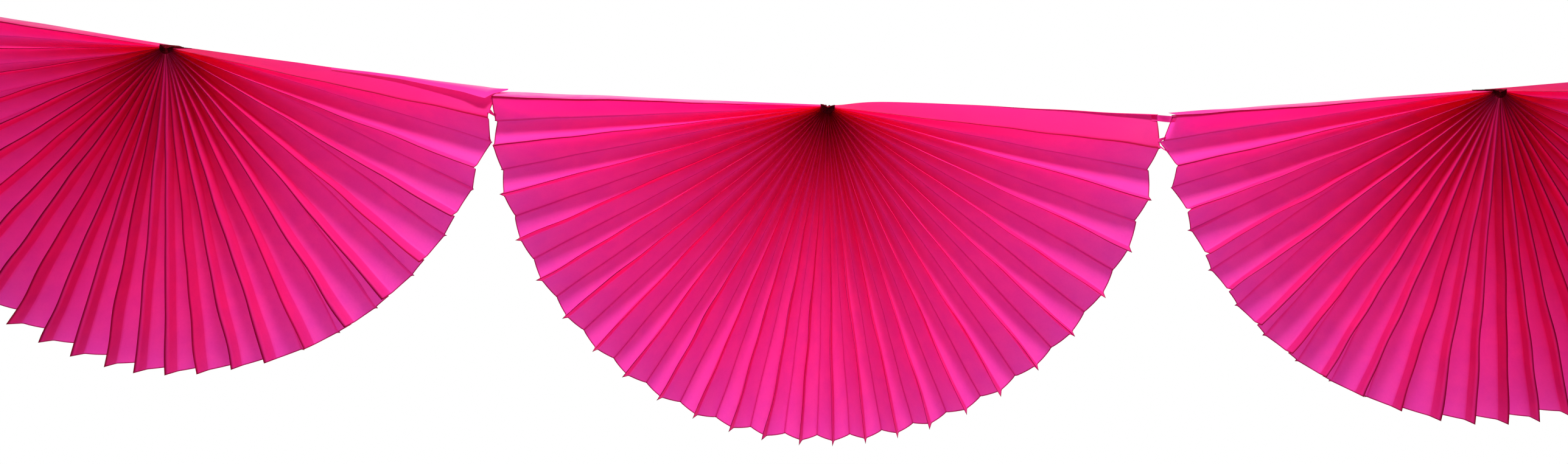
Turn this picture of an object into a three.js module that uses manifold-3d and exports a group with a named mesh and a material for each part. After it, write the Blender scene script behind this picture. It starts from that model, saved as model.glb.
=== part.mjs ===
// Paper fan garland: half-disc fans of pleated tissue, hung in a row and joined rim to rim.
// Millimetres, +Z up, +X along the row, +Y away from the side that is looked at.
// The origin is the hub of the middle fan.

import * as THREE from 'three';
import { mergeVertices } from 'three/addons/utils/BufferGeometryUtils.js';
import Module from 'manifold-3d';

const wasm = await Module();
wasm.setup();

const degrees = (angle) => (angle * Math.PI) / 180;

// The folded strip: its width is the fan's radius, and a panel is one fold to the next
const fanRadius = 305;
const pleatWidth = 40;
const paperThickness = 0.3;
const foldCount = 50;
const pleatsPerGore = 3;

// How far the fan stands open, as angles that start at its left-hand level line and go down
const firstFoldAngle = degrees(-1.1);
const fanAngle = degrees(179.9);
const sideSpread = degrees(6.5);
const lean = degrees(-0.5);
const ripple = degrees(0.9);
const leftLeafAngle = degrees(1);
const rightLeafAngle = degrees(5.5);
const leafLift = 1.4;

// Gaps between touching pieces, and how much of a panel's pitch paper and gap may take at the hub
const clearance = 0.3;
const paperPitchShare = 0.5;
const gapPitchShare = 0.5;

// Where along a panel, from hub to rim, the solid has a section
const sectionShares = [0, 0.1, 0.25, 0.42, 0.6, 0.8, 1];

// Pressed paper at the hub
const spineRadius = 6;
const earSpan = 3.4;
const earWidth = 1.8;
const earHeight = 1.3;
const notchDepth = 0.6;
const spineArcSteps = 18;

// Wire staple through the pressed paper
const wireDiameter = 0.6;
const stapleSpan = 10;
const stapleDrop = 3;
const clinchLength = 3.6;
const stapleBend = 0.9;
const wireSegments = 4;
const stepsPerBend = 1.25;

// The row: the gap between two rims, and how steeply the outer fans hang
const rimGap = 6;
const outerTilt = degrees(6.5);

// Glued paper links across the gap, as places along the rim counted in folds
const upperLinkFromShares = [0.93, 0.68];
const upperLinkToShares = [0.14, 0.36];
const lowerLinkFromShares = [0.3, 0.18];
const lowerLinkToShares = [0.72, 0.84];
const linkSag = 1.2;
const linkSteps = 4;

const overrun = 2;

const tissue = new THREE.MeshStandardMaterial({ color: '#e01a78', roughness: 0.8, metalness: 0 });
const tissueDark = new THREE.MeshStandardMaterial({ color: '#8c0b3c', roughness: 0.85, metalness: 0 });
const steelWire = new THREE.MeshStandardMaterial({ color: '#c9ccd0', roughness: 0.3, metalness: 1 });

// Folds

// Folds 1, 3, 5 and so on point to the viewer, the even ones away; 0 and the last are cut edges
const pointsFront = (fold) => fold % 2 === 1;

function foldAngle(fold) {
  if (fold === 0) {
    return foldAngle(1) - leftLeafAngle;
  }
  if (fold === foldCount) {
    return foldAngle(foldCount - 1) + rightLeafAngle;
  }
  const share = (fold - 1) / (foldCount - 1);
  const turn = 2 * Math.PI * share;
  return (
    firstFoldAngle +
    fanAngle * share +
    sideSpread * Math.sin(turn) +
    lean * (1 - Math.cos(turn)) +
    ripple * Math.cos(2 * turn)
  );
}

// The cut edges of the end leaves stand off a little at the hub, where the paper is pressed
function edgeLift(fold, radius) {
  const share = 1 - (radius - spineRadius) / (fanRadius - spineRadius);
  return fold === 0 || fold === foldCount ? leafLift * share : 0;
}

// The arc from one fold to the next, averaged over both sides of a fold
function pitchAt(fold, radius) {
  const before = Math.max(fold - 1, 0);
  const after = Math.min(fold + 1, foldCount);
  const arc = radius * (foldAngle(after) - foldAngle(before));
  return (arc + edgeLift(before, radius) + edgeLift(after, radius)) / (after - before);
}

// Sizes of the zigzag at one fold and one radius: a panel keeps its width as it opens
function foldSection(fold, radius) {
  const pitch = pitchAt(fold, radius);
  const depth = Math.sqrt(pleatWidth ** 2 - pitch ** 2);
  const thickness = Math.min(paperThickness, paperPitchShare * pitch);
  const gap = Math.min(clearance, gapPitchShare * pitch);
  const side = pointsFront(fold) ? -1 : 1;
  return { depth, thickness, gap, slope: depth / pitch, edge: (side * depth) / 2, side };
}

// A point of the fan, given by its angle, its radius, a step along the arc and its depth
function fanPoint(angle, radius, step, y) {
  const turned = angle + step / radius;
  return new THREE.Vector3(-radius * Math.cos(turned), y, -radius * Math.sin(turned));
}

// The front and back skin of the zigzag at one fold: two points on the outside of the fold and
// one inside it, or one on each skin where the paper ends
function foldPoints(fold, radius, end) {
  const { thickness, gap, slope, edge, side } = foldSection(fold, radius);
  const angle = foldAngle(fold);
  const half = thickness / 2;
  if (end !== 0 && (fold === 0 || fold === foldCount)) {
    const rise = end * edgeLift(fold, radius);
    const cut = (step) => fanPoint(angle, radius, rise + step, edge);
    return { front: [cut(end * half)], back: [cut(-end * half)] };
  }
  if (end !== 0) {
    const inset = Math.max(gap, thickness) / 2;
    const at = (run) => fanPoint(angle, radius, -end * inset, edge - side * run * slope);
    return { front: [at(inset - half)], back: [at(inset + half)] };
  }
  const outer = [-half, half].map((step) => fanPoint(angle, radius, step, edge));
  const inner = [fanPoint(angle, radius, 0, edge - side * half * slope)];
  return pointsFront(fold) ? { front: outer, back: inner } : { front: inner, back: outer };
}

// Paper: a closed sheet swept from one loop of points to the next

// A loop runs along the front skin and returns along the back one. A sheet may twist on its way,
// so both skins are split along the same diagonal, which keeps the thickness even
class Sheet {
  positions = [];
  index = [];

  place(point) {
    this.positions.push(point.x, point.y, point.z);
    return this.positions.length / 3 - 1;
  }

  triangle(a, b, c) {
    this.index.push(a, b, c);
  }

  quad(a, b, c, d) {
    this.triangle(a, b, c);
    this.triangle(a, c, d);
  }

  sweep(loops, frontCount) {
    for (let step = 1; step < loops.length; step += 1) {
      const [near, far] = [loops[step - 1], loops[step]];
      near.forEach((point, at) => {
        const next = (at + 1) % near.length;
        if (at < frontCount) {
          this.quad(point, far[at], far[next], near[next]);
        } else {
          this.quad(far[at], far[next], near[next], point);
        }
      });
    }
  }

  geometry() {
    const geometry = new THREE.BufferGeometry();
    geometry.setAttribute('position', new THREE.Float32BufferAttribute(this.positions, 3));
    geometry.setIndex(this.index);
    geometry.computeVertexNormals();
    return geometry;
  }
}

// Pleated paper between two folds

function pleatedPaper(first, last) {
  const folds = Array.from({ length: last - first + 1 }, (_, step) => first + step);
  const reach = fanRadius - spineRadius - clearance;
  const sheet = new Sheet();
  const sections = sectionShares.map((share) =>
    folds.map((fold) => {
      const end = fold === first ? -1 : fold === last ? 1 : 0;
      const { front, back } = foldPoints(fold, spineRadius + clearance + reach * share, end);
      return {
        front: front.map((point) => sheet.place(point)),
        back: back.map((point) => sheet.place(point)),
      };
    }),
  );
  const fronts = sections.map((section) => section.flatMap((fold) => fold.front));
  const backs = sections.map((section) => section.flatMap((fold) => fold.back).reverse());
  const loops = fronts.map((front, at) => [...front, ...backs[at]]);
  sheet.sweep(loops, fronts[0].length);

  // The two cut ends, at the hub and at the rim
  const closeEnd = (section, atHub) => {
    const turned = (corners) => (atHub ? corners : corners.reverse());
    section.forEach((fold, at) => {
      const next = section[at + 1];
      if (fold.front.length > 1) {
        sheet.triangle(...turned([fold.front[0], fold.front[1], fold.back[0]]));
      }
      if (fold.back.length > 1) {
        sheet.triangle(...turned([fold.front[0], fold.back[1], fold.back[0]]));
      }
      if (next) {
        const face = [fold.front.at(-1), next.front[0], next.back[0], fold.back.at(-1)];
        sheet.quad(...turned(face));
      }
    });
  };
  closeEnd(sections[0], true);
  closeEnd(sections.at(-1), false);
  return sheet.geometry();
}

// Booleans on closed meshes

function toSolid(geometry) {
  const bare = geometry.index ? geometry.clone() : geometry;
  bare.deleteAttribute('normal');
  bare.deleteAttribute('uv');
  const merged = mergeVertices(bare);
  return new wasm.Manifold(
    new wasm.Mesh({
      numProp: 3,
      vertProperties: new Float32Array(merged.attributes.position.array),
      triVerts: new Uint32Array(merged.index.array),
    }),
  );
}

function toGeometry(solid) {
  const { vertProperties, triVerts } = solid.getMesh();
  const geometry = new THREE.BufferGeometry();
  geometry.setAttribute('position', new THREE.Float32BufferAttribute(vertProperties, 3));
  geometry.setIndex(new THREE.Uint32BufferAttribute(triVerts, 1));
  geometry.computeVertexNormals();
  return geometry;
}

// Hub: the pressed edges of all the panels, with two ears above the level line

const wireRadius = wireDiameter / 2;
const wireHole = wireRadius + clearance;
const crownReach = Math.sqrt(spineRadius ** 2 - (stapleDrop + wireRadius) ** 2) - wireRadius;

function spineOutline() {
  const outline = new THREE.Shape();
  outline.moveTo(-spineRadius, 0);
  outline.absarc(0, 0, spineRadius, Math.PI, 2 * Math.PI, false);
  for (const side of [1, -1]) {
    const middle = (side * earSpan) / 2;
    outline.lineTo(middle + earWidth / 2, side > 0 ? notchDepth / 2 : 0);
    outline.lineTo(middle, earHeight);
    outline.lineTo(middle - earWidth / 2, side > 0 ? 0 : notchDepth / 2);
    if (side > 0) {
      outline.lineTo(0, -notchDepth);
    }
  }
  outline.closePath();
  return outline;
}

function box(sizeX, sizeY, sizeZ, x, y, z) {
  return toSolid(new THREE.BoxGeometry(sizeX, sizeY, sizeZ).translate(x, y, z));
}

// Room for the staple: a groove on each flank and a hole for each leg
function stapleRoom() {
  const grooveDepth = spineRadius - crownReach + wireHole + overrun;
  const grooveX = crownReach - wireHole + grooveDepth / 2;
  const grooveLength = stapleSpan + 2 * wireHole;
  const legLength = 2 * crownReach;
  let room = null;
  for (const side of [-1, 1]) {
    const groove = box(grooveDepth, grooveLength, 2 * wireHole, side * grooveX, 0, -stapleDrop);
    const hole = new THREE.CylinderGeometry(wireHole, wireHole, legLength, 3 * wireSegments);
    hole.rotateZ(Math.PI / 2).translate(0, (side * stapleSpan) / 2, -stapleDrop);
    room = room ? room.add(groove) : groove;
    room = room.add(toSolid(hole));
  }
  return room;
}

function spine() {
  const block = new THREE.ExtrudeGeometry(spineOutline(), {
    depth: pleatWidth,
    bevelEnabled: false,
    curveSegments: spineArcSteps,
  });
  block.rotateX(Math.PI / 2).translate(0, pleatWidth / 2, 0);
  return toGeometry(toSolid(block).subtract(stapleRoom()));
}

// Staple: crown on the left flank, legs through the paper, ends clinched inwards on the right

function staple() {
  const half = stapleSpan / 2;
  const at = (x, y) => new THREE.Vector3(x, y, -stapleDrop);
  const corners = [
    at(crownReach, half - clinchLength),
    at(crownReach, half),
    at(-crownReach, half),
    at(-crownReach, -half),
    at(crownReach, -half),
    at(crownReach, clinchLength - half),
  ];
  const path = new THREE.CurvePath();
  let from = corners[0];
  for (let step = 1; step < corners.length - 1; step += 1) {
    const corner = corners[step];
    const towards = (point) =>
      corner.clone().add(point.clone().sub(corner).setLength(stapleBend));
    const start = towards(corners[step - 1]);
    const end = towards(corners[step + 1]);
    path.add(new THREE.LineCurve3(from, start));
    path.add(new THREE.QuadraticBezierCurve3(start, corner, end));
    from = end;
  }
  path.add(new THREE.LineCurve3(from, corners.at(-1)));
  const section = new THREE.Shape();
  section.absarc(0, 0, wireRadius, 0, 2 * Math.PI, false);
  const steps = Math.round((path.getLength() / stapleBend) * stepsPerBend);
  return new THREE.ExtrudeGeometry(section, {
    steps,
    extrudePath: path,
    curveSegments: wireSegments,
    bevelEnabled: false,
  });
}

// Links: a strip of paper from one fan's rim to the next, which hangs through a little

function rimPoint(place, radius) {
  const fold = Math.floor(place);
  const share = place - fold;
  const edgeOf = (at) => foldSection(at, fanRadius).edge;
  const angle = THREE.MathUtils.lerp(foldAngle(fold), foldAngle(fold + 1), share);
  return fanPoint(angle, radius, 0, THREE.MathUtils.lerp(edgeOf(fold), edgeOf(fold + 1), share));
}

function paperLink(fromEdge, toEdge) {
  const sheet = new Sheet();
  const along = [0, 1].map((edge) => toEdge[edge].clone().sub(fromEdge[edge]));
  const middleway = along[0].clone().add(along[1]);
  const loops = [];
  for (let step = 0; step <= linkSteps; step += 1) {
    const share = step / linkSteps;
    const drop = new THREE.Vector3(0, 0, -linkSag * 4 * share * (1 - share));
    const [top, bottom] = [0, 1].map((edge) =>
      fromEdge[edge].clone().addScaledVector(along[edge], share).add(drop),
    );
    const across = bottom.clone().sub(top);
    const skin = middleway.clone().cross(across).setLength(paperThickness / 2);
    const corners = [
      top.clone().add(skin),
      bottom.clone().add(skin),
      bottom.clone().sub(skin),
      top.clone().sub(skin),
    ];
    loops.push(corners.map((point) => sheet.place(point)));
  }
  sheet.sweep(loops, loops[0].length / 2);
  sheet.quad(...loops[0]);
  sheet.quad(...loops.at(-1).toReversed());
  return sheet.geometry();
}

// Fans

function named(name, geometry, material) {
  const mesh = new THREE.Mesh(geometry, material.clone());
  mesh.name = name;
  return mesh;
}

function fan(name) {
  const group = new THREE.Group();
  group.add(named(`${name}_left_leaf`, pleatedPaper(0, 1), tissue));
  const foldsPerGore = 2 * pleatsPerGore;
  for (let first = 1, gore = 1; first < foldCount - 1; first += foldsPerGore, gore += 1) {
    const last = Math.min(first + foldsPerGore, foldCount - 1);
    group.add(named(`${name}_gore_${gore}`, pleatedPaper(first, last), tissue));
  }
  group.add(named(`${name}_right_leaf`, pleatedPaper(foldCount - 1, foldCount), tissue));
  group.add(named(`${name}_hub_spine`, spine(), tissueDark));
  group.add(named(`${name}_hub_staple`, staple(), steelWire));
  return group;
}

// An outer fan hangs from the middle one: rim pivot, gap, rim pivot, then its own radius uphill
function hangOuterFan(group, side) {
  const pivot = fanRadius + clearance / 2;
  const nearRim = fanRadius + rimGap - clearance / 2;
  group.position.set(
    side * (nearRim + pivot * Math.cos(outerTilt)),
    0,
    pivot * Math.sin(outerTilt),
  );
  group.rotation.y = -side * outerTilt;
  group.updateMatrixWorld(true);
}

function linkBetween(name, leftFan, rightFan, fromShares, fromFold, toShares, toFold) {
  const radius = fanRadius + clearance;
  const edge = (group, fold, shares) =>
    shares.map((share) => rimPoint(fold + share, radius).applyMatrix4(group.matrixWorld));
  const fromEdge = edge(leftFan, fromFold, fromShares);
  const toEdge = edge(rightFan, toFold, toShares);
  return named(name, paperLink(fromEdge, toEdge), tissue);
}

const garland = new THREE.Group();
const middleFan = fan('middle');
const leftFan = fan('left');
const rightFan = fan('right');
hangOuterFan(leftFan, -1);
hangOuterFan(rightFan, 1);
middleFan.updateMatrixWorld(true);
garland.add(leftFan, middleFan, rightFan);

for (const [joint, before, after] of [
  ['left', leftFan, middleFan],
  ['right', middleFan, rightFan],
]) {
  const lastLeaf = foldCount - 1;
  garland.add(
    linkBetween(
      `${joint}_joint_upper_tab`,
      before,
      after,
      upperLinkFromShares,
      lastLeaf,
      upperLinkToShares,
      0,
    ),
    linkBetween(
      `${joint}_joint_lower_tab`,
      before,
      after,
      lowerLinkFromShares,
      lastLeaf,
      lowerLinkToShares,
      1,
    ),
  );
}

export default garland;
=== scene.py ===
# Paper fan garland: tissue, hubs, joints, light and camera.
# Metres, +Z up, +X along the row, +Y away from the viewer.
import math

import bpy
import numpy as np
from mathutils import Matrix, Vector


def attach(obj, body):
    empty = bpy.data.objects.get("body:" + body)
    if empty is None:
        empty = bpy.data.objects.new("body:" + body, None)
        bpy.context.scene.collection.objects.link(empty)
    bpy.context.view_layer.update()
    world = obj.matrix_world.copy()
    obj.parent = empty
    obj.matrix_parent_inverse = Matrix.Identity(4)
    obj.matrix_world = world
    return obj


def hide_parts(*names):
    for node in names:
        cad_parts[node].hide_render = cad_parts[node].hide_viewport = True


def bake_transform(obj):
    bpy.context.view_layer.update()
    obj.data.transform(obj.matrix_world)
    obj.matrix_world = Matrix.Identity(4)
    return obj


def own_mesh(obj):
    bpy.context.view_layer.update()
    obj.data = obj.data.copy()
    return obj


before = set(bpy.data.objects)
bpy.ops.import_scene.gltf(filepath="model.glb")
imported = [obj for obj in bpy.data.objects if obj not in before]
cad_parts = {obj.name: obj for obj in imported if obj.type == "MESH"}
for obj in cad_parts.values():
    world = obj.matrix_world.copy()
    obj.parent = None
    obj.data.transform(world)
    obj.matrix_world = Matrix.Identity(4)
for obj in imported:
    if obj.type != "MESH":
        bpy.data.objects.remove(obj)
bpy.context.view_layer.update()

MM = 0.001


# The folded strip, with the values of the solids. Angles are in degrees from a fan's left end.
# Folds 0 and FOLDS are the cut edges, and odd folds stand in front

FAN_RADIUS = 305 * MM
PLEAT = 40 * MM
FOLDS = 50
FOLDS_PER_GORE = 6
GORES = 8
FIRST_FOLD = -1.1
FAN_ANGLE = 179.9
SIDE_SPREAD = 6.5
LEAN = -0.5
RIPPLE = 0.9
LEFT_LEAF = 1.0
RIGHT_LEAF = 5.5
LEAF_LIFT = 1.4 * MM
SPINE_RADIUS = 6 * MM
RIM_GAP = 6 * MM
CLEARANCE = 0.3 * MM
TILT = 6.5

SIDES = {"left": -1, "middle": 0, "right": 1}


def hub_of(fan):
    side = SIDES[fan]
    if side == 0:
        return (0.0, 0.0)
    pivot = FAN_RADIUS + CLEARANCE / 2
    near = FAN_RADIUS + RIM_GAP - CLEARANCE / 2
    tilt = math.radians(TILT)
    return (side * (near + pivot * math.cos(tilt)), pivot * math.sin(tilt))


def tilt_of(fan):
    """The cosine and sine of a fan's turn in the row."""
    turn = math.radians(-SIDES[fan] * TILT)
    return math.cos(turn), math.sin(turn)


def to_row(fan, x, y, z):
    """From a fan's own axes to the row's."""
    hub_x, hub_z = hub_of(fan)
    c, s = tilt_of(fan)
    return np.stack([hub_x + x * c + z * s, y, hub_z - x * s + z * c], axis=-1)


def fold_angle(fold):
    if fold == 0:
        return fold_angle(1) - LEFT_LEAF
    if fold == FOLDS:
        return fold_angle(FOLDS - 1) + RIGHT_LEAF
    share = (fold - 1) / (FOLDS - 1)
    turn = 2 * math.pi * share
    return (
        FIRST_FOLD
        + FAN_ANGLE * share
        + SIDE_SPREAD * math.sin(turn)
        + LEAN * (1 - math.cos(turn))
        + RIPPLE * math.cos(2 * turn)
    )


# How a panel bends: its front fold is pinched into a ridge, and its back fold stays more open

RIDGE_LENGTH = 15.5 * MM
BACK_RIDGE_LENGTH = 5 * MM
RIDGE_WIDTH_SHARE = 0.08
BACK_RIDGE_WIDTH_SHARE = 0.05
PANEL_SLACK = 1.06
PANEL_BOW = 0.9 * MM
FULL_BOW_PITCH = 12 * MM

# The glued ends of a fan hardly pinch: the fold, and how far it pinches
PINCH = ([0, 2, 6, 44, 50], [0.1, 0.15, 1, 1, 0.2])

# Where the paper starts and stops to round at the foot of a ridge, as shares of the two stretches
ROUND_FROM, ROUND_TO = 0.9, 0.07
BACK_ROUND_FROM, BACK_ROUND_TO = 0.93, 0.4

# The stretches across a panel: the places taken on each, the stage at its start and the stages it
# runs. Stage 0 is the front fold, 1 and 2 are the feet of the two ridges, and 3 is the back fold.
# The paper looks doubled on both ridges, and leans up to the foot of the front one
RIDGE = ((0, 0.5, 1), 0.0, 0.9)
ROUNDING = ((0.25, 0.5, 0.75), 0.9, 0.2)
FREE_PAPER = ((0, 0.25, 0.5, 0.75, 1), 1.1, 0.8)
BACK_ROUNDING = ((0.5,), 1.9, 0.2)
BACK_RIDGE = ((0, 1), 2.1, 0.9)
DOUBLED_TO, DOUBLED_FROM = 0.95, 2.1
LEANS_TO = 1.1

# How far the pinch pulls the rim inwards, from the ridge's foot to the back fold
JUNCTION_PULL = 1.2 * MM
BACK_JUNCTION_PULL = 2.2 * MM
BACK_PULL = 1.2 * MM
PULL_POWER = 3

# How folds wander and lean, as shares of the pitch, and the puckers between them
WANDER_SHARE = 0.05
LEAN_SHARE = 0.11
LEAST_LEAN = 0.5
LEAN_WANDER_SHARE = 0.08
BACK_WANDER_SHARE = 0.03
PUCKER = 0.45 * MM
PUCKER_PACE = 1.7
PUCKER_PITCH = 18 * MM

# Turns along the radius and size of the waves that a wander is made of, and how much a pace varies
WAVES = ((1.3, 0.5), (2.7, 0.45), (5.1, 0.25))
PACE_LEAST, PACE_RANGE = 0.8, 0.4

# The repeatable numbers, and the keys that tell their uses apart
HASH_WEIGHTS = (12.9898, 78.233, 37.719, 9.131)
HASH_SCALE = 43758.5453
PANEL_SEED, HUB_SEED = 2, 5
FRONT_KEY, TIP_KEY, BACK_KEY, LEAN_KEY, PUCKER_KEY, HUB_KEY = 1, 2, 3, 4, 5, 3
PHASE_KEY, PACE_KEY = 1, 7

# Rows of points from hub to rim, a little closer together near the hub
ROWS = 48
HUB_ROWS_POWER = 1.15

# The least distance between two folds, and the greatest as a share of the pleat
LEAST_PITCH = 0.2 * MM
WIDEST_SHARE = 0.9

# How far each rim reaches: the angle, and the share of the radius
REACH = {
    "left": (
        [0, 35, 62, 78, 93, 112, 119, 150, 176],
        [0.985, 0.98, 0.971, 0.983, 0.996, 1.0, 1.009, 1.006, 1.0],
    ),
    "middle": (
        [0, 8, 15, 60, 80, 120, 165, 175, 180],
        [1.018, 1.022, 1.031, 1.031, 1.03, 1.021, 1.018, 1.012, 1.006],
    ),
    "right": (
        [0, 18, 28, 48, 75, 90, 180],
        [0.985, 0.986, 0.993, 1.003, 1.008, 1.002, 1.0],
    ),
}
REACH_POWER = 0.5

# An outer fan is turned a little about the vertical, so its back folds stand nearer to the middle
# of the row: the angle, and the slant
SLANTS = {
    "left": ([0, 120, 160, 180], [0.12, 0.17, 0.15, 0.04]),
    "middle": ([0, 5, 14, 180], [-0.13, -0.12, 0, 0]),
    "right": ([0, 12, 24, 90, 180], [-0.06, -0.16, -0.19, -0.17, -0.12]),
}

# How far folds stand from their even place: the angle, and the turn in degrees
TURNS = {
    "left": ([120, 160, 175, 181], [0, 1.2, 1.0, 0.3]),
    "middle": ([-2, 8, 172, 180], [0.5, 0, 0, -0.2]),
    "right": ([-1.2, -0.3], [0.6, 0]),
}

# Where the cut edge of an end leaf meets the rim: the share of the radius, how far it comes forward
CORNERS = {
    ("middle", 0): (1.0, 0.0),
    ("middle", 50): (1.004, 14 * MM),
    ("left", 50): (0.984, 0.0),
    ("right", 0): (0.954, 6 * MM),
}
CORNER_POWER = 12
FORWARD_POWER, FORWARD_SHARE_POWER = 4, 1.5

# The cut edge of the middle fan's right leaf bows up near the hub
LEAF_BOW = 7.0 * MM
LEAF_BOW_AT = 0.09

# Painted sheen: the upper leaf is painted paler towards its cut edge, where the light grazes it:
# how much, from which distance to the front fold and over which, and between which distances to the
# hub, in millimetres
SHEEN = 0.5
SHEEN_FROM = 4.0
SHEEN_OVER = 18.0
SHEEN_SPAN = {"left": (70, 320), "middle": (70, 320), "right": (62, 258)}
SHEEN_SOFT = 30.0


def hashed(*keys):
    """A repeatable number from 0 to 1."""
    total = sum(key * weight for key, weight in zip(keys, HASH_WEIGHTS))
    return (math.sin(total) * HASH_SCALE) % 1.0


def wave(v, *keys):
    """A smooth wander along the radius, about -1 to 1, that starts at 0 at the hub."""
    total = np.zeros_like(v)
    for n, (turns, size) in enumerate(WAVES):
        phase = 2 * math.pi * hashed(*keys, n + PHASE_KEY)
        pace = 2 * math.pi * turns * (PACE_LEAST + PACE_RANGE * hashed(*keys, n + PACE_KEY))
        total += size * (np.sin(pace * v + phase) - math.sin(phase) * (1 - v))
    return total


def rim_scale(fan, angle):
    return float(np.interp(math.degrees(angle), *REACH[fan]))


def spot(fan, fold):
    """Where a fold stands, in radians."""
    angle = fold_angle(fold)
    return math.radians(angle + float(np.interp(angle, *TURNS[fan])))


def turn_at(fan, fold):
    """The mean angle of the panels on both sides of a fold."""
    others = [other for other in (fold - 1, fold + 1) if 0 <= other <= FOLDS]
    return sum(abs(spot(fan, other) - spot(fan, fold)) for other in others) / len(others)


def between(a, b, t):
    return tuple(p + (q - p) * t for p, q in zip(a, b))


def rounded(a, foot, b, t):
    return between(between(a, foot, t), between(foot, b, t), t)


def panel_path(pitch, pinch_front, pinch_back):
    """Across a panel, from its front fold to its back fold: steps along the arc, depths, stages."""
    base = RIDGE_WIDTH_SHARE * pitch
    back_base = BACK_RIDGE_WIDTH_SHARE * pitch
    free = pitch - base - back_base
    ridge, back_ridge = RIDGE_LENGTH * pinch_front, BACK_RIDGE_LENGTH * pinch_back
    both = ridge + back_ridge
    outer = np.maximum(PLEAT - ridge - back_ridge, free * PANEL_SLACK)
    spare = PLEAT - outer
    ridge, back_ridge = spare * ridge / both, spare * back_ridge / both
    ridge_depth = np.sqrt(np.maximum(ridge**2 - base**2, 0))
    back_depth = np.sqrt(np.maximum(back_ridge**2 - back_base**2, 0))
    outer_depth = np.sqrt(np.maximum(outer**2 - free**2, 0))

    tip = (0 * pitch, 0 * pitch)
    junction = (base, ridge_depth)
    back_junction = (pitch - back_base, ridge_depth + outer_depth)
    back = (pitch, ridge_depth + outer_depth + back_depth)
    start = between(tip, junction, ROUND_FROM)
    stop = between(junction, back_junction, ROUND_TO)
    start_back = between(junction, back_junction, BACK_ROUND_FROM)
    stop_back = between(back_junction, back, BACK_ROUND_TO)

    def bowed(t):
        step, depth = between(stop, start_back, t)
        bow = PANEL_BOW * math.sin(math.pi * t) * np.minimum(pitch / FULL_BOW_PITCH, 1)
        return step, depth - bow

    stretches = (
        (lambda t: between(tip, start, t), RIDGE),
        (lambda t: rounded(start, junction, stop, t), ROUNDING),
        (bowed, FREE_PAPER),
        (lambda t: rounded(start_back, back_junction, stop_back, t), BACK_ROUNDING),
        (lambda t: between(stop_back, back, t), BACK_RIDGE),
    )
    points, stages = [], []
    for curve, (places, stage, run) in stretches:
        points += [curve(t) for t in places]
        stages += [stage + run * t for t in places]
    steps, depths = (np.stack(part, axis=1) for part in zip(*points))
    return steps, depths, np.array(stages)


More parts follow.
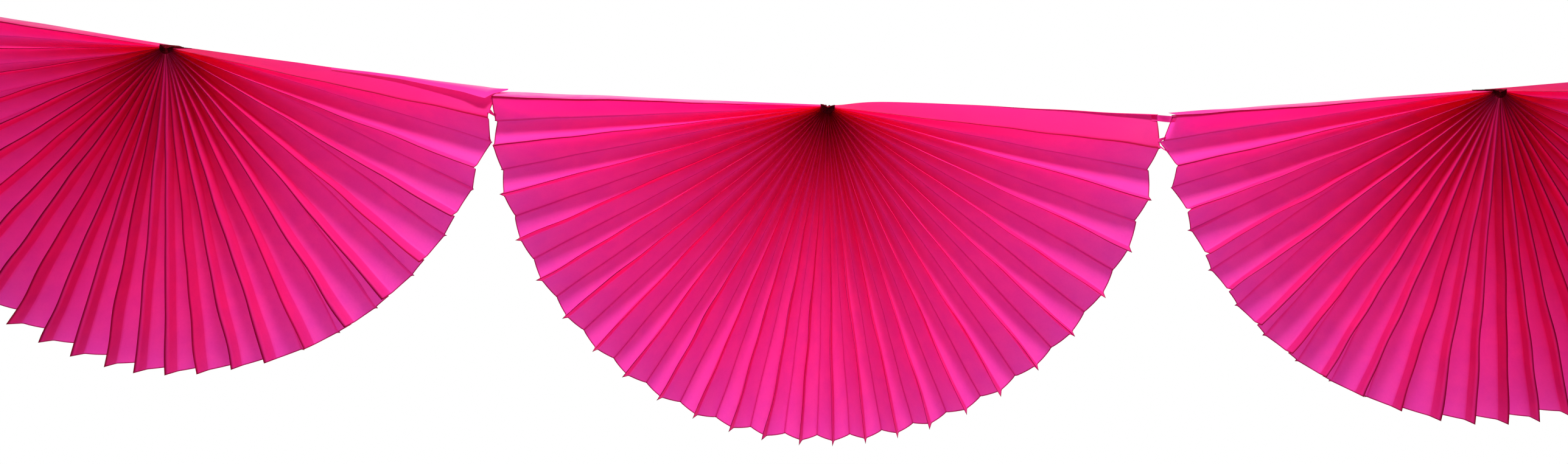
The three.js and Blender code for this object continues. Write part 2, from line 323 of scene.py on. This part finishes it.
def panel(fan, fold):
    """The panel from this fold to the next, in rows from hub to rim and columns from this fold on:
    points, distances from the front fold and the hub in millimetres, and how doubled it looks."""
    front, back = (fold, fold + 1) if fold % 2 else (fold + 1, fold)
    sign = 1 if back > front else -1
    seed = SIDES[fan] + PANEL_SEED
    v = (np.arange(ROWS + 1) / ROWS) ** HUB_ROWS_POWER
    radius = SPINE_RADIUS + CLEARANCE + (FAN_RADIUS - SPINE_RADIUS - CLEARANCE) * v
    a_front, a_back = spot(fan, front), spot(fan, back)

    # Each fold wanders by itself, and the pitch between them follows
    local_pitch = radius * math.radians(FAN_ANGLE / FOLDS)
    front_shift = WANDER_SHARE * local_pitch * wave(v, front, seed, FRONT_KEY)
    back_shift = BACK_WANDER_SHARE * local_pitch * wave(v, back, seed, BACK_KEY)
    pitch = radius * abs(a_back - a_front) + sign * (back_shift - front_shift)
    if back in (0, FOLDS):
        pitch = pitch + LEAF_LIFT * (1 - v)
    if (fan, back) == ("middle", FOLDS):
        rise = (v / LEAF_BOW_AT) ** 2 / (1 + (v / LEAF_BOW_AT) ** 2)
        pitch = pitch + LEAF_BOW * rise * (1 - v)
    pitch = np.maximum(pitch, LEAST_PITCH)

    # Across the panel: along the arc, with a ridge that leans
    pinch_front, pinch_back = (float(np.interp(at, *PINCH)) for at in (front, back))
    steps, depths, stages = panel_path(pitch, pinch_front, pinch_back)
    share = np.interp(stages, [0, 3], [0, 1])
    lean = LEAN_SHARE * (LEAST_LEAN + hashed(front, seed, LEAN_KEY))
    lean_wander = LEAN_WANDER_SHARE * wave(v, front, seed, TIP_KEY)
    tip_shift = pinch_front * local_pitch * (lean_wander - lean)
    towards_tip = np.interp(stages, [0, LEANS_TO], [1, 0])
    arc = front_shift[:, None] + tip_shift[:, None] * towards_tip + sign * steps
    angle = a_front + arc / radius[:, None]

    # Along the radius: the rim's reach, a cut edge's corner, and the pull of the pinch
    pinch = np.interp(stages, [1, 2], [pinch_front, pinch_back])
    pulls = [0, JUNCTION_PULL, BACK_JUNCTION_PULL, BACK_PULL]
    pull = pinch * np.interp(stages, [0, 1, 2, 3], pulls)
    scale = rim_scale(fan, a_front) * (1 - share) + rim_scale(fan, a_back) * share
    grown = 1 + (scale - 1) * v[:, None] ** REACH_POWER
    corner, forward = CORNERS.get((fan, back), (1.0, 0.0))
    grown = grown * (1 + (corner - 1) * share * (v**CORNER_POWER)[:, None])
    reach = (radius[:, None] - pull * (v**PULL_POWER)[:, None]) * grown

    # In depth: the front fold, the panel's path, a corner that comes forward, and slight puckers
    pitch_at_front = radius * turn_at(fan, front)
    front_y = -np.sqrt(PLEAT**2 - np.minimum(pitch_at_front, WIDEST_SHARE * PLEAT) ** 2) / 2
    y = front_y[:, None] + depths
    y = y - forward * share**FORWARD_SHARE_POWER * (v**FORWARD_POWER)[:, None]
    first_wobble, last_wobble = (
        wave(v * PUCKER_PACE, fold, seed, PUCKER_KEY + side)[:, None] for side in (0, 1)
    )
    wobble = first_wobble * (1 - share) + last_wobble * share
    weight = np.sin(np.pi * np.clip(stages - 1, 0, 1))
    y = y + PUCKER * weight * wobble * (pitch / PUCKER_PITCH)[:, None]

    slant = float(np.interp(math.degrees(a_front), *SLANTS[fan]))
    slanted = slant * (y + PLEAT / 2) * v[:, None]
    points = to_row(fan, -reach * np.cos(angle) + slanted, y, -reach * np.sin(angle))

    from_hub = np.repeat(radius[:, None] / MM, points.shape[1], axis=1)
    run = np.linalg.norm(np.diff(np.stack([steps, depths], axis=-1), axis=1), axis=-1)
    start = np.zeros((len(v), 1))
    from_front = np.concatenate([start, np.cumsum(run, axis=1)], axis=1) / MM
    doubled = pinch * ((stages <= DOUBLED_TO) | (stages >= DOUBLED_FROM))
    parts = (points, from_front, from_hub, np.repeat(doubled[None, :], len(v), axis=0))
    return parts if sign > 0 else tuple(part[:, ::-1] for part in parts)


# The share of painted sheen on the upper leaf, paler where the light grazes its cut edge
def sheen_share(fan, from_front, from_hub):
    begin, end = SHEEN_SPAN[fan]
    sheen = SHEEN * np.clip((from_front - SHEEN_FROM) / SHEEN_OVER, 0, 1)
    sheen = sheen * np.clip((from_hub - begin) / SHEEN_SOFT, 0, 1)
    return sheen * np.clip((end - from_hub) / SHEEN_SOFT, 0, 1)


# Node helpers


def add_node(tree, kind, inputs=None, **settings):
    """A new node. Each input is a number, a vector, a colour or another node's output."""
    node = tree.nodes.new(kind)
    for setting, value in settings.items():
        setattr(node, setting, value)
    for key, value in (inputs or {}).items():
        socket = node.inputs[key]
        if isinstance(value, bpy.types.NodeSocket):
            tree.links.new(value, socket)
        elif socket.type == "RGBA":
            socket.default_value = (*value, 1)
        else:
            socket.default_value = value
    return node


def new_material(name):
    material = bpy.data.materials.new(name)
    material.use_nodes = True
    material.node_tree.nodes.clear()
    return material, material.node_tree


def math_node(tree, operation, *values):
    inputs = dict(enumerate(values))
    return add_node(tree, "ShaderNodeMath", inputs, operation=operation).outputs[0]


def ramp(tree, value, low, high, from_value=0.0, to_value=1.0):
    node = add_node(
        tree,
        "ShaderNodeMapRange",
        {
            "Value": value,
            "From Min": low,
            "From Max": high,
            "To Min": from_value,
            "To Max": to_value,
        },
        interpolation_type="SMOOTHSTEP",
    )
    return node.outputs["Result"]


def mix_colour(tree, factor, a, b, blend="MIX"):
    inputs = {0: factor, 6: a, 7: b}
    node = add_node(tree, "ShaderNodeMix", inputs, data_type="RGBA", blend_type=blend)
    return node.outputs[2]


def tinted(tree, factor, colour, tint):
    """The colour, and as far as the factor says, the colour times the tint."""
    return mix_colour(tree, factor, colour, mix_colour(tree, 1.0, colour, tint, "MULTIPLY"))


def attribute(tree, name):
    return add_node(tree, "ShaderNodeAttribute", attribute_name=name).outputs["Fac"]


def object_place(tree):
    return add_node(tree, "ShaderNodeTexCoord").outputs["Object"]


def noise(tree, vector, scale, detail, roughness=0.55):
    inputs = {"Vector": vector, "Scale": scale, "Detail": detail, "Roughness": roughness}
    return add_node(tree, "ShaderNodeTexNoise", inputs).outputs["Fac"]


def bump(tree, height, strength, distance):
    inputs = {"Height": height, "Strength": strength, "Distance": distance}
    return add_node(tree, "ShaderNodeBump", inputs).outputs[0]


def seen_directly(tree):
    """1 for rays from the camera and for what gloss and glass show."""
    path = add_node(tree, "ShaderNodeLightPath").outputs
    seen = math_node(tree, "MAXIMUM", path["Is Camera Ray"], path["Is Glossy Ray"])
    return math_node(tree, "MAXIMUM", seen, path["Is Transmission Ray"])


def srgb(*channels):
    def linear(c):
        c /= 255
        return c / 12.92 if c <= 0.04045 else ((c + 0.055) / 1.055) ** 2.4

    return tuple(linear(c) for c in channels)


# Tissue. Painted shade: its colour is painted deeper towards the hub, where the deep pleats shade
# it, at distances from the hub, in millimetres, from the rim inwards

RIM_PINK = srgb(244, 66, 174)
HUB_SHADE_TONES = (
    (230, 303, srgb(254, 60, 170)),
    (60, 235, srgb(255, 54, 164)),
    (6, 90, srgb(255, 46, 154)),
)
FRONT_FOLD_SHADE_RED = srgb(165, 0, 50)
BACK_FOLD_SHADE_RED = srgb(225, 15, 100)
RIM_LINE_RED = srgb(150, 0, 45)
SHEEN_PINK = srgb(255, 176, 206)

# Panels are this far apart in the noise, so that no two look alike
PANELS_APART = 47.3

# Noise: scale per millimetre, detail and roughness
CLOUD = (0.05, 2.0)
FIBRE = (0.55, 4.0, 0.65)
GRAIN = (0.9, 5.0, 0.7)
DIMPLE = (0.09, 2.0)

# Ramps: from one input to another, and from one share to another
CLOUD_RAMP = (0.3, 0.7, 0.0, 0.35)
FIBRE_RAMP = (0.35, 0.75, 0.0, 0.22)
SHEEN_RAMP = (0.3, 0.62, 0.45, 1.0)
BACK_FOLD_SHADE = (39.0, 39.8, 0.0, 0.5)
FRONT_FOLD_SHADE = (0.7, 3.4, 0.9, 0.0)
RIM_LINE = (303.6, 304.5, 0.0, 0.85)

CLOUD_TINT = (0.82, 0.7, 1.0)
FIBRE_TINT = (0.86, 0.6, 0.8)
DOUBLED_SHARE, DOUBLED_TINT = 0.9, (0.93, 0.52, 0.7)
END_LEAF_SHADE_SHARE, END_LEAF_SHADE_TINT = 0.85, (0.8, 0.3, 0.42)

GRAIN_SHARE = 0.25
TISSUE_BUMP = (0.25, 0.8 * MM)
TISSUE_ROUGHNESS = 0.55
TISSUE_SPECULAR = 0.08
LIGHT_THROUGH = 0.56


def tissue_material():
    """Thin paper, half matt and half passing light, with clouds, fibres and a dark rim line,
    painted shade towards the hub, on the right end leaves and along the folds, and a painted sheen
    on edges that the light grazes.
    """
    material, tree = new_material("Tissue")
    from_front = attribute(tree, "from_front")
    from_hub = attribute(tree, "from_hub")
    panel_number = attribute(tree, "panel")
    apart = math_node(tree, "MULTIPLY", panel_number, PANELS_APART)
    place = {0: from_hub, 1: from_front, 2: apart}
    paper = add_node(tree, "ShaderNodeCombineXYZ", place).outputs[0]

    # Painted shade: the colour deepens towards the hub, where the deep pleats shade the paper
    colour = RIM_PINK
    for begin, end, shaded_colour in HUB_SHADE_TONES:
        colour = mix_colour(tree, ramp(tree, from_hub, begin, end), shaded_colour, colour)
    cloud = noise(tree, paper, *CLOUD)
    colour = tinted(tree, ramp(tree, cloud, *CLOUD_RAMP), colour, CLOUD_TINT)
    fibre = noise(tree, paper, *FIBRE)
    colour = tinted(tree, ramp(tree, fibre, *FIBRE_RAMP), colour, FIBRE_TINT)
    doubled = math_node(tree, "MULTIPLY", attribute(tree, "doubled"), DOUBLED_SHARE)
    colour = tinted(tree, doubled, colour, DOUBLED_TINT)
    # Painted shade: the right end leaves face up into the light, so their colour is deepened to
    # shade them
    end_leaf_shade = math_node(tree, "COMPARE", panel_number, FOLDS - 1, 0.5)
    end_leaf_shade = math_node(tree, "MULTIPLY", end_leaf_shade, END_LEAF_SHADE_SHARE)
    colour = tinted(tree, end_leaf_shade, colour, END_LEAF_SHADE_TINT)
    # Painted sheen: upper edges that the light grazes are painted paler
    clouded = ramp(tree, cloud, *SHEEN_RAMP)
    painted_sheen = math_node(tree, "MULTIPLY", attribute(tree, "painted_sheen"), clouded)
    colour = mix_colour(tree, painted_sheen, colour, SHEEN_PINK)
    # Painted shade: faint dark lines along the back folds, which show through the paper
    colour = mix_colour(tree, ramp(tree, from_front, *BACK_FOLD_SHADE), colour, BACK_FOLD_SHADE_RED)
    # Painted shade: the front folds are darkened where their crests are seen edge-on and shade the
    # paper beside them
    colour = mix_colour(tree, ramp(tree, from_front, *FRONT_FOLD_SHADE), colour, FRONT_FOLD_SHADE_RED)
    colour = mix_colour(tree, ramp(tree, from_hub, *RIM_LINE), colour, RIM_LINE_RED)

    grain = math_node(tree, "MULTIPLY", noise(tree, paper, *GRAIN), GRAIN_SHARE)
    height = math_node(tree, "ADD", grain, noise(tree, paper, *DIMPLE))
    normal = bump(tree, height, *TISSUE_BUMP)
    matt = {
        "Base Color": colour,
        "Roughness": TISSUE_ROUGHNESS,
        "Specular IOR Level": TISSUE_SPECULAR,
        "Normal": normal,
    }
    matt = add_node(tree, "ShaderNodeBsdfPrincipled", matt).outputs[0]
    through = {"Color": colour, "Normal": normal}
    through = add_node(tree, "ShaderNodeBsdfTranslucent", through).outputs[0]
    mix = add_node(tree, "ShaderNodeMixShader", {0: LIGHT_THROUGH, 1: matt, 2: through})
    add_node(tree, "ShaderNodeOutputMaterial", {"Surface": mix.outputs[0]})
    return material


# Pressed tissue and wire, with noise scales per metre

PRESSED_DARK, PRESSED_LIGHT = srgb(62, 0, 12), srgb(128, 2, 26)
PRESSED_SHADE = srgb(34, 0, 8)
PRESSED_GRAIN = (900.0, 3.0)
PRESSED_GRAIN_RAMP = (0.35, 0.65)
PRESSED_BROAD = (220.0, 2.0)
PRESSED_BROAD_RAMP = (0.4, 0.7, 0.0, 0.5)
PRESSED_BUMP = (0.5, 0.4 * MM)
PRESSED_ROUGHNESS = 0.85
PRESSED_SPECULAR = 0.05

WIRE_DARK, WIRE_LIGHT = srgb(168, 170, 174), srgb(214, 216, 220)
SCRATCHES = (1500.0, 2.0)
WIRE_ROUGHNESS = (0.3, 0.7, 0.22, 0.4)


def pressed_material():
    """The hub's stack of pressed edges, fine dark layers."""
    material, tree = new_material("Pressed tissue")
    where = object_place(tree)
    grain = noise(tree, where, *PRESSED_GRAIN)
    broad = noise(tree, where, *PRESSED_BROAD)
    layers = ramp(tree, grain, *PRESSED_GRAIN_RAMP)
    colour = mix_colour(tree, layers, PRESSED_DARK, PRESSED_LIGHT)
    shade = ramp(tree, broad, *PRESSED_BROAD_RAMP)
    inputs = {
        "Base Color": mix_colour(tree, shade, colour, PRESSED_SHADE),
        "Normal": bump(tree, grain, *PRESSED_BUMP),
        "Roughness": PRESSED_ROUGHNESS,
        "Specular IOR Level": PRESSED_SPECULAR,
    }
    shader = add_node(tree, "ShaderNodeBsdfPrincipled", inputs)
    add_node(tree, "ShaderNodeOutputMaterial", {"Surface": shader.outputs[0]})
    return material


def wire_material():
    material, tree = new_material("Staple wire")
    scratches = noise(tree, object_place(tree), *SCRATCHES)
    inputs = {
        "Base Color": mix_colour(tree, scratches, WIRE_DARK, WIRE_LIGHT),
        "Metallic": 1.0,
        "Roughness": ramp(tree, scratches, *WIRE_ROUGHNESS),
    }
    shader = add_node(tree, "ShaderNodeBsdfPrincipled", inputs)
    add_node(tree, "ShaderNodeOutputMaterial", {"Surface": shader.outputs[0]})
    return material


tissue = tissue_material()
pressed = pressed_material()
wire = wire_material()


# Pieces of the fans

# The hub's stack: a half disc with two ears on top, given as shares of its radius
HUB_RADIUS = 6.4 * MM
HUB_DEPTH = 39.4 * MM
HUB_GROOVE = 1.2 * MM
HUB_WOBBLE = 0.5 * HUB_GROOVE
HUB_CENTRE = -0.16
HUB_RINGS = np.linspace(0.12, 1, 7)
HUB_RINGS_POWER = 0.5
HUB_TOP = (
    (-1.0, 0.34),
    (-0.62, 0.29),
    (-0.38, 0.17),
    (-0.25, 0.25),
    (-0.19, 0.1),
    (0.0, 0.02),
    (0.17, 0.06),
    (0.24, 0.22),
    (0.36, 0.1),
    (0.6, 0.14),
    (1.0, 0.26),
)


def add_object(name, data, material=None):
    if material:
        data.materials.append(material)
    obj = bpy.data.objects.new(name, data)
    bpy.context.scene.collection.objects.link(obj)
    return obj


def paper_object(name, points, faces, layers):
    """A thin mesh of tissue, with the values at its points that the material reads."""
    mesh = bpy.data.meshes.new(name)
    mesh.from_pydata(points, [], faces)
    for label, values in layers.items():
        layer = mesh.attributes.new(label, "FLOAT", "POINT")
        layer.data.foreach_set("value", values.ravel().astype(np.float32))
    mesh.shade_smooth()
    return add_object(name, mesh, tissue)


def grid_faces(rows, columns, first=0):
    """The quads of a grid of points, the first of which has this number."""
    index = first + np.arange(rows * columns).reshape(rows, columns)
    corners = [index[:-1, :-1], index[:-1, 1:], index[1:, 1:], index[1:, :-1]]
    return np.stack(corners, axis=-1).reshape(-1, 4).tolist()


def sheet_piece(name, fan, first, last):
    """The paper from one fold to another as one thin sheet."""
    panels = []
    for fold in range(first, last):
        points, from_front, from_hub, doubled = panel(fan, fold)
        layers = {
            "points": points,
            "from_front": from_front,
            "from_hub": from_hub,
            "panel": np.full(from_hub.shape, float(fold)),
            "doubled": doubled,
            "painted_sheen": sheen_share(fan, from_front, from_hub) * (fold == 0),
        }
        keep = slice(0 if fold == first else 1, None)
        panels.append({label: values[:, keep] for label, values in layers.items()})
    layers = {label: np.concatenate([each[label] for each in panels], axis=1) for label in layers}
    grid = layers.pop("points")
    return paper_object(name, grid.reshape(-1, 3).tolist(), grid_faces(*grid.shape[:2]), layers)


def close_with_fan(obj, first, last):
    """Works out the line in the middle of the pleats, and gives the piece its own copy of its mesh.
    """
    middle = math.radians((fold_angle(first) + fold_angle(last)) / 2)
    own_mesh(obj)


def hub_piece(fan):
    """All the panels' inner edges pressed into one stack: a half disc of fine radial pleats."""
    outline = [(x * HUB_RADIUS, z * HUB_RADIUS) for x, z in HUB_TOP]
    start = math.atan2(outline[-1][1], outline[-1][0])
    stop = math.atan2(outline[0][1], outline[0][0]) - 2 * math.pi
    arc_steps = 2 * FOLDS
    for step in range(1, arc_steps):
        angle = start + (stop - start) * step / arc_steps
        outline.append((HUB_RADIUS * math.cos(angle), HUB_RADIUS * math.sin(angle)))
    outline = np.array(outline)
    centre = np.array([0.0, HUB_CENTRE * HUB_RADIUS])
    ring = centre + (outline - centre) * HUB_RINGS[:, None, None]

    rows, columns = len(HUB_RINGS), len(outline)
    groove = np.zeros(columns)
    groove[len(HUB_TOP):] = HUB_GROOVE * (np.arange(columns - len(HUB_TOP)) % 2)
    seed = SIDES[fan] + HUB_SEED
    wobble = np.array([HUB_WOBBLE * hashed(k, seed, HUB_KEY) for k in range(columns)])
    depth = HUB_DEPTH / 2 - (groove + wobble) * HUB_RINGS[:, None] ** HUB_RINGS_POWER
    front = to_row(fan, ring[..., 0], -depth, ring[..., 1])
    back = to_row(fan, ring[..., 0], depth, ring[..., 1])
    ends = np.array([-HUB_DEPTH / 2, HUB_DEPTH / 2])
    middle = to_row(fan, np.full(2, centre[0]), ends, np.full(2, centre[1]))
    points = np.concatenate([front.reshape(-1, 3), back.reshape(-1, 3), middle])

    half = rows * columns
    faces = []
    for k in range(columns):
        nxt = (k + 1) % columns
        faces.append((2 * half, nxt, k))
        faces.append((2 * half + 1, half + k, half + nxt))
        for row in range(rows - 1):
            a, b = row * columns, (row + 1) * columns
            faces.append((a + k, a + nxt, b + nxt, b + k))
            faces.append((half + a + nxt, half + a + k, half + b + k, half + b + nxt))
        a = (rows - 1) * columns
        faces.append((a + k, a + nxt, half + a + nxt, half + a + k))
    mesh = bpy.data.meshes.new(f"{fan}_hub_pressed")
    mesh.from_pydata(points.tolist(), [], faces)
    return add_object(f"{fan}_hub_pressed", mesh, pressed)


for fan in SIDES:
    parts = [("left_leaf", 0, 1)]
    for gore in range(GORES):
        first = 1 + FOLDS_PER_GORE * gore
        parts.append((f"gore_{gore + 1}", first, first + FOLDS_PER_GORE))
    parts.append(("right_leaf", FOLDS - 1, FOLDS))
    for part, first, last in parts:
        node = f"{fan}_{part}"
        obj = sheet_piece(f"{node}_paper", fan, first, last)
        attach(obj, node)
        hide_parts(node)
        close_with_fan(obj, first, last)
    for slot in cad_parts[f"{fan}_hub_staple"].material_slots:
        slot.material = wire
    obj = hub_piece(fan)
    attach(obj, f"{fan}_hub")
    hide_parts(f"{fan}_hub_spine")


# Joint papers: glued laps and torn shreds between neighbouring rims

# How far a paper laps over each rim, in millimetres, and how far it sags towards the viewer
UPPER_LAP, UPPER_SAG = 5.0, 0.8 * MM
LOWER_LAP, LOWER_SAG = 2.0, 0.5 * MM
LAP_LIFT = np.array([0, -0.35, 0.35]) * MM
LAP_DOUBLED = 0.9

# A ribbon's points across it, its steps between rails, and the ripple of its sag
ACROSS = np.linspace(0, 1, 7)
RIBBON_STEPS = 6
RIPPLE_SIZE, RIPPLE_ACROSS, RIPPLE_ALONG = 0.5, 3, 7

# What the tissue reads on a ribbon: distances that give the rim's tone and a dark cut edge, a
# place between two folds, and a panel number that no fan has
TONE_PAPER, TONE_EDGE, TONE_POWER = 292.0, 304.5, 6
BETWEEN_FOLDS, BETWEEN_FOLDS_RUN = 12, 10
RIBBON_PANEL = 61.0
# How fast the painted sheen falls off across a ribbon
SHEEN_SLOPE = 1.6

# Each lap joins two panels: fan, fold, and the paper's upper and lower edge on the rim, in
# millimetres from the panel's front fold
UPPER = {
    "left": (("left", 49, (37.5, 27.0)), ("middle", 0, (34.5, 25.5))),
    "right": (("middle", 49, (39.5, 32.0)), ("right", 1, (1.0, 10.0))),
}
LOWER = {
    "left": [
        (("left", 49, (12.5, 7.0)), ("middle", 1, (28.5, 33.5))),
        (("left", 48, (33.0, 39.5)), ("middle", 3, (0.2, 1.4))),
    ],
    "right": [
        (("middle", 49, (11.5, 7.5)), ("right", 1, (35.5, 39.5))),
        (("middle", 49, (3.0, 0.2)), ("right", 2, (25.0, 22.5))),
    ],
}


def points_at(places, given, points):
    """Points at places between the given ones."""
    return np.stack([np.interp(places, given, points[:, axis]) for axis in range(3)], axis=-1)


def rim_points(fan, fold, distances, inset=0.0):
    """Points on a panel's rim, or a little inside it, by their distances from its front fold."""
    points, from_front, from_hub, _ = panel(fan, fold)
    radius = FAN_RADIUS / MM - inset
    rim = [points_at(radius, from_hub[:, 0], column) for column in points.transpose(1, 0, 2)]
    order = np.argsort(from_front[-1])
    return points_at(distances, from_front[-1][order], np.array(rim)[order])


def lap_rails(before, after, lap):
    """From a little inside one fan's rim, over the gap, to a little inside the next one's."""
    places = ((before, lap), (before, 0.0), (after, 0.0), (after, lap))
    return [rim_points(*panel_place, inset=inset) + LAP_LIFT for panel_place, inset in places]


def ribbon_piece(name, strips, sheen=0.0, doubled=0.0):
    """Narrow strips of tissue. Each has rails, which run from its upper edge to its lower one."""
    points, faces = [], []
    for rails, sag in strips:
        rails = np.array(rails)
        stops = np.linspace(0, 1, len(rails))
        along = np.linspace(0, 1, RIBBON_STEPS * (len(rails) - 1) + 1)
        given = np.linspace(0, 1, rails.shape[1])
        wide = np.array([points_at(ACROSS, given, rail) for rail in rails])
        columns = [points_at(along, stops, column) for column in wide.transpose(1, 0, 2)]
        grid = np.stack(columns, axis=1)
        ripple = np.sin(RIPPLE_ACROSS * ACROSS + RIPPLE_ALONG * along[:, None])
        curl = np.sin(math.pi * along)[:, None] * (1 + RIPPLE_SIZE * ripple)
        grid[..., 1] -= sag * curl
        faces += grid_faces(len(along), len(ACROSS), len(points))
        points += grid.reshape(-1, 3).tolist()
    rows = len(points) // len(ACROSS)
    edge = np.abs(2 * ACROSS - 1)
    layers = {
        "from_front": np.tile(BETWEEN_FOLDS + BETWEEN_FOLDS_RUN * ACROSS, rows),
        "from_hub": np.tile(TONE_PAPER + (TONE_EDGE - TONE_PAPER) * edge**TONE_POWER, rows),
        "panel": np.full(len(points), RIBBON_PANEL),
        "doubled": np.full(len(points), doubled),
        "painted_sheen": np.tile(sheen * np.clip(1 - SHEEN_SLOPE * ACROSS, 0, 1), rows),
    }
    obj = paper_object(name, points, faces, layers)
    return obj


for side in ("left", "right"):
    before, after = UPPER[side]
    rails = lap_rails(before, after, UPPER_LAP)
    obj = ribbon_piece(f"{side}_joint_upper_paper", [(rails, UPPER_SAG)], doubled=LAP_DOUBLED)
    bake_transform(obj)
    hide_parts(f"{side}_joint_upper_tab")
    strips = [(lap_rails(*lap, LOWER_LAP), LOWER_SAG) for lap in LOWER[side]]
    obj = ribbon_piece(f"{side}_joint_lower_paper", strips, doubled=LAP_DOUBLED)
    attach(obj, f"{side}_joint")
    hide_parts(f"{side}_joint_lower_tab")


# The cut end of the left fan's last leaf curls over towards the viewer, paler where light falls on
# it: places along it from the middle hub, its upper edge and its lower one

CURL_X = np.array([-470, -434, -405, -376, -340, -326, -318.5, -313, -302]) * MM
CURL_TOP = np.array([20.6, 18.2, 15.6, 12.6, 9.4, 8.2, 7.3, 6.8, 6.2]) * MM
CURL_LOW = np.array([19.6, 16.3, 12.8, 8.0, 2.2, -1.2, -2.8, 1.6, 5.4]) * MM
CURL_BACK, CURL_FRONT = 12 * MM, -12 * MM
CURL_COLUMNS = 5
CURL_FULL_HEIGHT = 9 * MM
CURL_POWER = 1.6
CURL_CROWN = 0.8 * MM
CURL_SHEEN = 0.85

rails = []
for x, top, low in zip(CURL_X, CURL_TOP, CURL_LOW):
    width = min(1.0, (top - low) / CURL_FULL_HEIGHT)
    rail = []
    for share in np.linspace(0, 1, CURL_COLUMNS):
        y = CURL_BACK + (CURL_FRONT - CURL_BACK) * width * share
        z = top + (low - top) * share**CURL_POWER + CURL_CROWN * math.sin(math.pi * share)
        rail.append((x, y, z))
    rails.append(rail)
curl = ribbon_piece("left_right_leaf_curl", [(rails, 0.0)], sheen=CURL_SHEEN)
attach(curl, "left_right_leaf")
close_with_fan(curl, FOLDS - 1, FOLDS)


# Floor, world and lamp

WHITE = (1.0, 1.0, 1.0)
FLOOR_Z = -0.62
FLOOR_SIZE = 9.0
FLOOR_DARK, FLOOR_LIGHT = (0.86, 0.86, 0.86), (0.89, 0.89, 0.89)
SPECKLE = (40.0, 3.0)
SPECKLE_RAMP = (0.3, 0.7)

# The floor turns to plain white between these distances from its middle, in an oval along the row
FAR_RAMP = (0.3, 0.66)
OVAL = (0.62, 1.0, 0.0)

LIGHT_BELOW, LIGHT_ABOVE = 0.16, 0.32
KEY_PLACE, KEY_AIM = Vector((0.1, -1.35, 2.7)), Vector((0, 0, -0.1))
KEY_WIDTH, KEY_HEIGHT = 1.1, 0.8
KEY_POWER = 12.5
KEY_SPREAD = 40


def floor_material():
    """Pale and matt. Far from the garland the camera sees plain white."""
    material, tree = new_material("Floor")
    where = object_place(tree)
    speckle = ramp(tree, noise(tree, where, *SPECKLE), *SPECKLE_RAMP)
    colour = mix_colour(tree, speckle, FLOOR_DARK, FLOOR_LIGHT)
    matt = add_node(tree, "ShaderNodeBsdfDiffuse", {"Color": colour}).outputs[0]
    white = {"Color": WHITE, "Strength": 1.0}
    white = add_node(tree, "ShaderNodeEmission", white).outputs[0]
    oval = {0: where, 1: OVAL}
    oval = add_node(tree, "ShaderNodeVectorMath", oval, operation="MULTIPLY").outputs[0]
    away = add_node(tree, "ShaderNodeVectorMath", {0: oval}, operation="LENGTH")
    far = ramp(tree, away.outputs["Value"], *FAR_RAMP)
    share = math_node(tree, "MULTIPLY", seen_directly(tree), far)
    mix = add_node(tree, "ShaderNodeMixShader", {0: share, 1: matt, 2: white})
    add_node(tree, "ShaderNodeOutputMaterial", {"Surface": mix.outputs[0]})
    return material


half = FLOOR_SIZE / 2
floor_mesh = bpy.data.meshes.new("floor")
corners = [(x, y, FLOOR_Z) for x, y in ((-half, -half), (half, -half), (half, half), (-half, half))]
floor_mesh.from_pydata(corners, [], [(0, 1, 2, 3)])
add_object("floor", floor_mesh, floor_material())

# The world is white to the camera, and lights the object a little more from above than from below
world = bpy.data.worlds.new("Studio")
bpy.context.scene.world = world
world.use_nodes = True
tree = world.node_tree
tree.nodes.clear()
direction = add_node(tree, "ShaderNodeTexCoord").outputs["Generated"]
up = add_node(tree, "ShaderNodeSeparateXYZ", {0: direction}).outputs[2]
falloff = ramp(tree, up, -1.0, 1.0, LIGHT_BELOW, LIGHT_ABOVE)
strength = {"Value": seen_directly(tree), "To Min": falloff, "To Max": 1.0}
strength = add_node(tree, "ShaderNodeMapRange", strength).outputs["Result"]
background = add_node(tree, "ShaderNodeBackground", {"Color": WHITE, "Strength": strength})
add_node(tree, "ShaderNodeOutputWorld", {"Surface": background.outputs[0]})

light = bpy.data.lights.new("key", "AREA")
light.shape = "RECTANGLE"
light.size, light.size_y = KEY_WIDTH, KEY_HEIGHT
light.energy = KEY_POWER
light.spread = math.radians(KEY_SPREAD)
key = add_object("key", light)
key.location = KEY_PLACE
key.rotation_euler = (KEY_AIM - KEY_PLACE).to_track_quat("-Z", "Y").to_euler()


# Camera: the image's size and focal length in pixels, and the row that is level with the lens

SENSOR = 36.0
FRAME_WIDTH, FRAME_HEIGHT = 2576, 763
FOCAL_PIXELS = 2163
AXIS_ROW = 166.5
CAMERA_PLACE = (-0.0273, -1.231, 0.0035)
CAMERA_PITCH, CAMERA_ROLL, CAMERA_YAW = 90, -1.9, 0.63
CLIP_START, CLIP_END = 0.05, 60

camera_data = bpy.data.cameras.new("camera")
camera_data.sensor_width = SENSOR
camera_data.lens = FOCAL_PIXELS / FRAME_WIDTH * SENSOR
camera_data.shift_y = (AXIS_ROW - FRAME_HEIGHT / 2) / FRAME_WIDTH
camera_data.clip_start = CLIP_START
camera_data.clip_end = CLIP_END
camera = add_object("camera", camera_data)
camera.location = CAMERA_PLACE
camera.rotation_euler = [math.radians(turn) for turn in (CAMERA_PITCH, CAMERA_ROLL, CAMERA_YAW)]
bpy.context.scene.camera = camera

# Light passes many layers of tissue, so it bounces often
DIFFUSE_BOUNCES, ALL_BOUNCES = 20, 24
bpy.context.scene.view_settings.view_transform = "Standard"
bpy.context.scene.cycles.diffuse_bounces = DIFFUSE_BOUNCES
bpy.context.scene.cycles.max_bounces = ALL_BOUNCES
